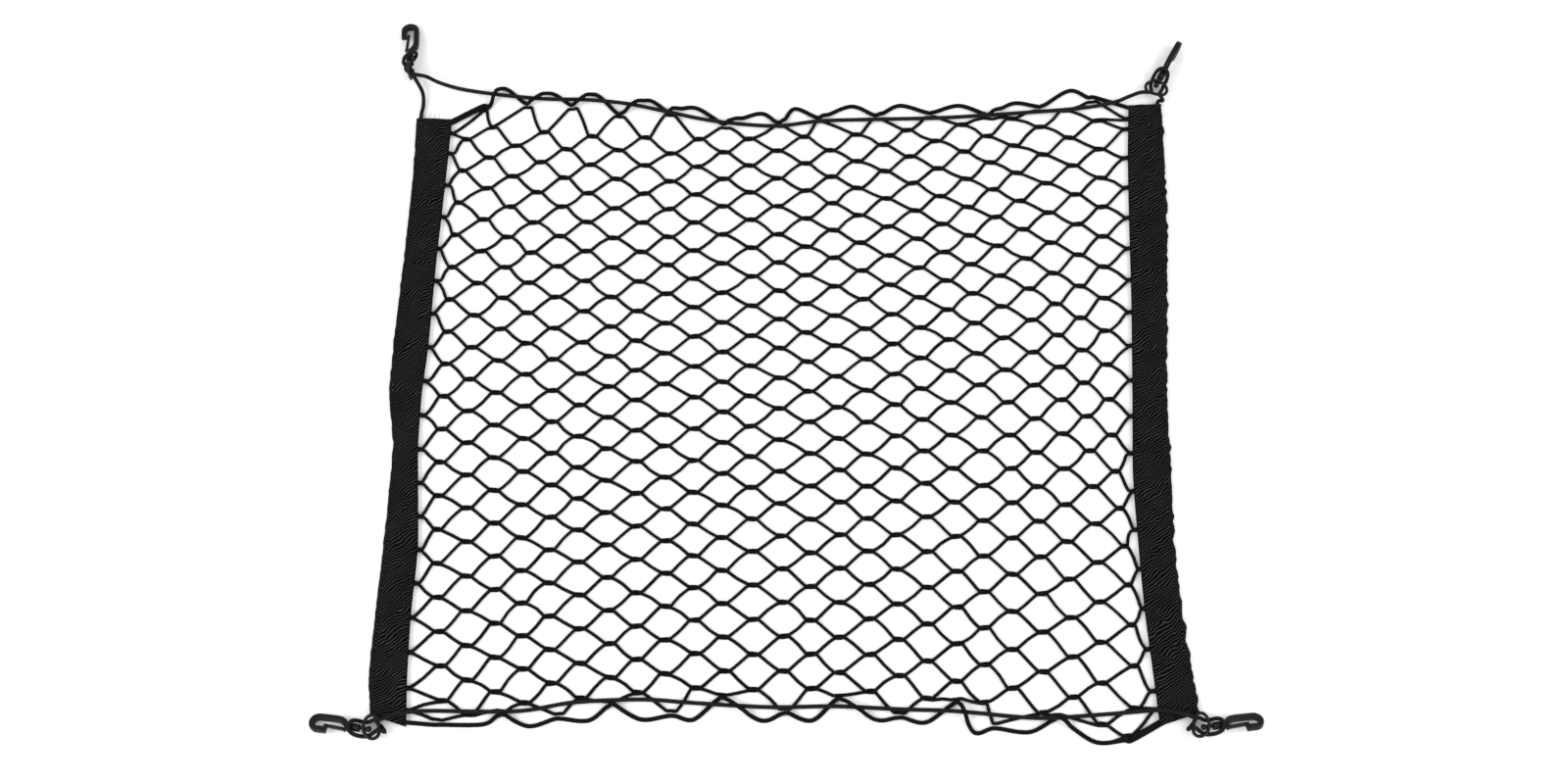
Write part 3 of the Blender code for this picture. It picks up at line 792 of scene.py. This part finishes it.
def webbing_mesh(side, sizes):
    """Starts as the flat tape and folds it lengthwise; the wall comes from a Solidify modifier."""
    bm = bmesh.new()
    bmesh.ops.create_grid(bm, x_segments=TAPE_COLUMNS, y_segments=sizes.tape_rows, size=1.0)
    chart = bm.loops.layers.uv.new("lay")
    length = webbing_length(side)
    for face in bm.faces:
        for loop in face.loops:
            lengthwise = (loop.vert.co.y + 1) / 2 * length
            loop[chart].uv = (loop.vert.co.x * TAPE_HALF, lengthwise if side == "left" else -lengthwise)
    for vert in bm.verts:
        spread = math.copysign(abs(vert.co.x) ** 1.5, vert.co.x)
        vert.co = folded_place(side, spread, (vert.co.y + 1) / 2, sizes.tape_layer) + NET_CENTRE
    bmesh.ops.recalc_face_normals(bm, faces=bm.faces)
    return mesh_from(bm, f"webbing_{side}")


def frayed_threads():
    """Threads that have worked loose at the left webbing's far end: each rises past it and leans."""
    outer, end = WEBBING["left"][0][:2]
    routes = []
    for across, lean, length in THREADS:
        root = Vector((outer + across, end - THREAD_ROOT, THREAD_HEIGHT)) + NET_CENTRE
        routes.append([
            root + Vector((lean * t * t, (length + THREAD_ROOT) * t, -THREAD_SAG * t * t))
            for t in (0.0, 0.25, 0.5, 0.75, 1.0)
        ])
    return routes


class CARGONET_OT_webbings(bpy.types.Operator):
    """Folds a webbing along each side of the netting"""

    bl_idname = "cargonet.webbings"
    bl_label = "Webbings"

    def execute(self, context):
        sizes = context.scene.cargo_net_sizes
        for side in WEBBING:
            mesh = webbing_mesh(side, sizes)
            tape = add_piece(
                f"webbing_{side}_tape", mesh, "webbing_twill", ROOT, [f"webbing_{side}"]
            )
            wall = tape.modifiers.new("layer", "SOLIDIFY")
            wall.thickness = sizes.tape_layer * 0.95
            wall.offset = 0.0
            wall.use_even_offset = True
            loose = []
            if side == "left":
                threads = tubes("webbing_left_threads", frayed_threads(), THREAD_RADIUS, 5)
                loose = [add_piece("webbing_left_loose_threads", threads, "webbing_twill", ROOT)]
        return {"FINISHED"}


# ---- Elastic ----


def in_webbing(side, start, end, steps):
    """Points along a webbing's fold, a little inside its outer edge."""
    points = []
    for step in range(steps + 1):
        y = start + (end - start) * step / steps
        stations = WEBBING[side]
        for (x0, y0, *_), (x1, y1, *_) in zip(stations, stations[1:]):
            if y >= y1 or (x1, y1) == stations[-1][:2]:
                x = x0 + (x1 - x0) * (y0 - y) / (y0 - y1)
                break
        inset = IN_WEB_INSET if side == "left" else -IN_WEB_INSET
        points.append((x + inset, y, IN_WEB))
    return points


def frame_of(place, azimuth, pitch, roll):
    """Matrix of a piece whose own +X points along azimuth and pitch, turned about it by roll."""
    return (
        Matrix.Translation(place)
        @ Matrix.Rotation(math.radians(azimuth), 4, "Z")
        @ Matrix.Rotation(math.radians(-pitch), 4, "Y")
        @ Matrix.Rotation(math.radians(roll), 4, "X")
    )


def hitch(name, side):
    """The elastic's way through a corner, entering on the +Y (1) or -Y (-1) side of the eye."""
    place, hook_turn, eye_turn = CORNERS[name]
    on_eye = frame_of(place, *eye_turn)
    on_hook = frame_of(place, hook_turn[0], hook_turn[1], eye_turn[2])
    way = []
    for sign in (side, -side):
        leg = [on_eye @ Vector((x * MM, y * sign * MM, z * MM)) for x, y, z in HITCH_IN_EYE]
        leg += [on_hook @ Vector((x * MM, y * sign * MM, z * MM)) for x, y, z in HITCH_ON_HOOK]
        way.append(leg)
    middle = on_hook @ Vector([c * MM for c in HITCH_END])
    return [*way[0], middle, *reversed(way[1])]


def elastic_route():
    """The loop from its join inside the left webbing, round the four corners and back."""
    route = [
        *in_webbing("left", *FROM_JOIN), *FROM_LEFT_WEB, *hitch("far_left", -1), *FAR_RUN,
        *hitch("far_right", 1), *TO_RIGHT_WEB, *in_webbing("right", *THROUGH_RIGHT),
        *FROM_RIGHT_WEB, *hitch("near_right", -1), *NEAR_RUN, *hitch("near_left", -1),
        *TO_LEFT_WEB, *in_webbing("left", *TO_JOIN),
    ]
    return evenly([p + NET_CENTRE for p in smooth_route(route, 10)], ELASTIC_SPACING)


class CARGONET_OT_elastic(bpy.types.Operator):
    """Threads the elastic loop through the webbings, the edge cords and the eyes"""

    bl_idname = "cargonet.elastic"
    bl_label = "Elastic"

    def execute(self, context):
        sizes = context.scene.cargo_net_sizes
        route = elastic_route()
        mesh = tubes("elastic", [route], sizes.elastic_radius, 12)
        cord = add_piece("elastic_cord", mesh, "elastic_sheath", ROOT, ["elastic"])
        length = sum((b - a).length for a, b in zip(route, route[1:]))
        return {"FINISHED"}


# ---- Hooks, gates and eyes ----


def arc(centre, radius, start, end, steps):
    angles = [math.radians(start + (end - start) * i / steps) for i in range(steps + 1)]
    return [(centre[0] + radius * math.cos(a), centre[1] + radius * math.sin(a)) for a in angles]


def plate(bm, outline, thick, edge):
    """A flat moulding with that outline in XY, centred on Z, with rounded edges; millimetres."""
    face = bm.faces.new([bm.verts.new((x * MM, y * MM, -thick / 2 * MM)) for x, y in outline])
    raised = bmesh.ops.extrude_face_region(bm, geom=[face])["geom"]
    bmesh.ops.translate(
        bm, vec=(0.0, 0.0, thick * MM), verts=[g for g in raised if isinstance(g, bmesh.types.BMVert)]
    )
    bmesh.ops.recalc_face_normals(bm, faces=bm.faces)
    rims = [
        e for e in bm.edges
        if len(e.link_faces) == 2 and any(abs(f.normal.z) > 0.9 for f in e.link_faces)
    ]
    bmesh.ops.bevel(
        bm, geom=rims, offset=edge, offset_type="OFFSET", affect="EDGES", segments=4, profile=0.5,
        material=-1, clamp_overlap=True,
    )


def turned(bm, profile, sides):
    """A turned piece about X from (x, radius) points in millimetres; its ends lie on the axis."""
    verts = [bm.verts.new((x * MM, radius * MM, 0.0)) for x, radius in profile]
    edges = [bm.edges.new(pair) for pair in zip(verts, verts[1:])]
    bmesh.ops.spin(
        bm, geom=verts + edges, axis=(1, 0, 0), cent=(0, 0, 0), angle=math.tau, steps=sides,
        use_merge=True,
    )


def finished(bm, name, sharp=35):
    bmesh.ops.remove_doubles(bm, verts=bm.verts, dist=1e-6)
    bmesh.ops.recalc_face_normals(bm, faces=bm.faces)
    return mesh_from(bm, name, sharp)


def hook_mesh(edge):
    """J-shaped body with its neck, barrel, pin and rivet head."""
    outline = [
        (16.9, -3.6), (19.0, -6.6), (23.5, -9.2), (29.0, -BODY_HALF),
        *arc((CROWN_AT, 0), BODY_HALF, -90, 90, 24),
        (NOSE_AT + 0.8, BODY_HALF), (NOSE_AT, BODY_HALF - 0.8), (NOSE_AT, BODY_SLOT),
        *arc((CROWN_AT, 0), BODY_SLOT, 90, -90, 16),
        (30.0, -BODY_SLOT), (25.5, -3.2), (21.5, -0.4), (19.5, 1.6), (19.5, 5.9), (16.9, 4.0),
    ]
    bm = bmesh.new()
    plate(bm, outline, BODY_THICK, edge)
    head = [(HEAD_AT + x, y) for x, y in arc((0, 0), HEAD_RADIUS, 180, 30, 12)]
    turned(
        bm,
        [(head[0][0], 0.0), *head[1:], (HEAD_AT + HEAD_RADIUS, PIN_RADIUS), (BARREL_START, PIN_RADIUS),
         (BARREL_START, BARREL_RADIUS - 0.6), (BARREL_START + 0.2, BARREL_RADIUS - 0.2),
         (BARREL_START + 0.8, BARREL_RADIUS), (NECK_END - 1.0, BARREL_RADIUS),
         (NECK_END - 0.2, BARREL_RADIUS - 0.5), (NECK_END, BARREL_RADIUS - 1.4), (NECK_END, 0.0)],
        32,
    )
    return finished(bm, "hook")


def gate_mesh():
    """Spring tongue from the neck to inside the nose."""
    bm = bmesh.new()
    plate(bm, [(GATE_ROOT, 2.2), (GATE_TIP, 0.5), (GATE_TIP, 3.1), (GATE_ROOT, 5.0)], GATE_THICK, 0.0006)
    return finished(bm, "gate")


def eye_mesh():
    """Stirrup with a straight bar, and the socket that the hook's pin turns in."""
    shoulder = [(-0.1, 4.6), (-2.8, 8.8), (-6.0, 11.5), (-10.2, EYE_HALF), (-13.8, 9.6), (-14.9, 6.0)]
    path = [*shoulder, (EYE_BAR_AT, 0.0), *[(x, -y) for x, y in reversed(shoulder)]]
    route = smooth_route([(x * MM, y * MM, 0.0) for x, y in path], 5)
    bm = bmesh.new()
    bm.from_mesh(tubes("stirrup", [route], EYE_WIRE * MM, 16))
    section = [
        bm.verts.new((x * MM, radius * MM, 0.0))
        for x, radius in (
            (-SOCKET_HALF + 0.3, SOCKET_BORE), (SOCKET_HALF - 0.3, SOCKET_BORE),
            (SOCKET_HALF, SOCKET_BORE + 0.3), (SOCKET_HALF, SOCKET_RADIUS - 0.4),
            (SOCKET_HALF - 0.4, SOCKET_RADIUS), (-SOCKET_HALF + 0.4, SOCKET_RADIUS),
            (-SOCKET_HALF, SOCKET_RADIUS - 0.4), (-SOCKET_HALF, SOCKET_BORE + 0.3),
        )
    ]
    edges = [bm.edges.new(pair) for pair in zip(section, section[1:] + section[:1])]
    bmesh.ops.spin(
        bm, geom=section + edges, axis=(1, 0, 0), cent=(0, 0, 0), angle=math.tau, steps=32,
        use_merge=True,
    )
    return finished(bm, "eye")


def placed(mesh, matrix, name):
    """A copy of a mesh with its place in its vertices."""
    copy = mesh.copy()
    copy.name = name
    copy.transform(matrix)
    return copy


class CARGONET_OT_hooks(bpy.types.Operator):
    """Moulds a swivel snap hook, its gate and its eye for each corner"""

    bl_idname = "cargonet.hooks"
    bl_label = "Snap hooks"

    def execute(self, context):
        sizes = context.scene.cargo_net_sizes
        hook, gate, eye = hook_mesh(sizes.moulding_edge), gate_mesh(), eye_mesh()
        for corner, (place, hook_turn, eye_turn) in CORNERS.items():
            at = Vector(place) + NET_CENTRE
            on_hook, on_eye = frame_of(at, *hook_turn), frame_of(at, *eye_turn)
            for kind, mesh, matrix, body in (
                ("hook", hook, on_hook, f"hook_{corner}"),
                ("gate", gate, on_hook, f"gate_{corner}"),
                ("eye", eye, on_eye, ROOT),
            ):
                name = f"{kind}_{corner}"
                add_piece(
                    f"{name}_moulding", placed(mesh, matrix, name), "moulded_plastic", body, [name]
                )
        return {"FINISHED"}


# ---- Stage ----


class CARGONET_OT_stage(bpy.types.Operator):
    """Lays the floor and sets the camera and soft lights"""

    bl_idname = "cargonet.stage"
    bl_label = "Stage"

    def execute(self, context):
        scene = context.scene
        bm = bmesh.new()
        bmesh.ops.create_grid(bm, x_segments=1, y_segments=1, size=FLOOR_HALF)
        mesh = mesh_from(bm, "floor")
        mesh.materials.append(finishes()["pale_floor"])
        floor = bpy.data.objects.new("floor", mesh)
        floor.location.z = -FLOOR_DROP
        scene.collection.objects.link(floor)

        for name, place, power, size in LAMPS:
            data = bpy.data.lights.new(name, "AREA")
            data.energy, data.size = power, size
            lamp = bpy.data.objects.new(name, data)
            lamp.location = place
            lamp.rotation_euler = (-Vector(place)).to_track_quat("-Z", "Y").to_euler()
            scene.collection.objects.link(lamp)

        world = bpy.data.worlds.new("studio")
        world.use_nodes = True
        sky = world.node_tree.nodes["Background"]
        sky.inputs["Color"].default_value = (1.0, 1.0, 1.0, 1.0)
        sky.inputs["Strength"].default_value = SKY_STRENGTH
        scene.world = world
        scene.view_settings.view_transform = "Standard"

        data = bpy.data.cameras.new("camera")
        data.lens, data.sensor_width = 50.0, 36.0
        camera = bpy.data.objects.new("camera", data)
        camera.location = NET_CENTRE + CAMERA_OFFSET
        camera.rotation_euler = (CAMERA_TILT, 0.0, 0.0)
        scene.collection.objects.link(camera)
        scene.camera = camera
        return {"FINISHED"}


# ---- Panel and registration ----


class CARGONET_PT_panel(bpy.types.Panel):
    """Sizes, colours and the steps that build the net"""

    bl_label = "Cargo Net"
    bl_idname = "CARGONET_PT_panel"
    bl_space_type = "VIEW_3D"
    bl_region_type = "UI"
    bl_category = "Cargo Net"

    def draw(self, context):
        for group in (context.scene.cargo_net_sizes, context.scene.cargo_net_colours):
            for name in group.__annotations__:
                self.layout.prop(group, name)
        for operator in OPERATORS:
            self.layout.operator(operator.bl_idname)


OPERATORS = (
    CARGONET_OT_netting, CARGONET_OT_webbings, CARGONET_OT_elastic, CARGONET_OT_hooks,
    CARGONET_OT_stage,
)
CLASSES = (CargoNetSizes, CargoNetColours, *OPERATORS, CARGONET_PT_panel)


def register():
    for made in CLASSES:
        bpy.utils.register_class(made)
    bpy.types.Scene.cargo_net_sizes = PointerProperty(type=CargoNetSizes)
    bpy.types.Scene.cargo_net_colours = PointerProperty(type=CargoNetColours)


def unregister():
    del bpy.types.Scene.cargo_net_colours
    del bpy.types.Scene.cargo_net_sizes
    for made in reversed(CLASSES):
        bpy.utils.unregister_class(made)


def main():
    register()
    bpy.ops.cargonet.netting()
    bpy.ops.cargonet.webbings()
    bpy.ops.cargonet.elastic()
    bpy.ops.cargonet.hooks()
    bpy.ops.cargonet.stage()


if __name__ == "__main__":
    main()
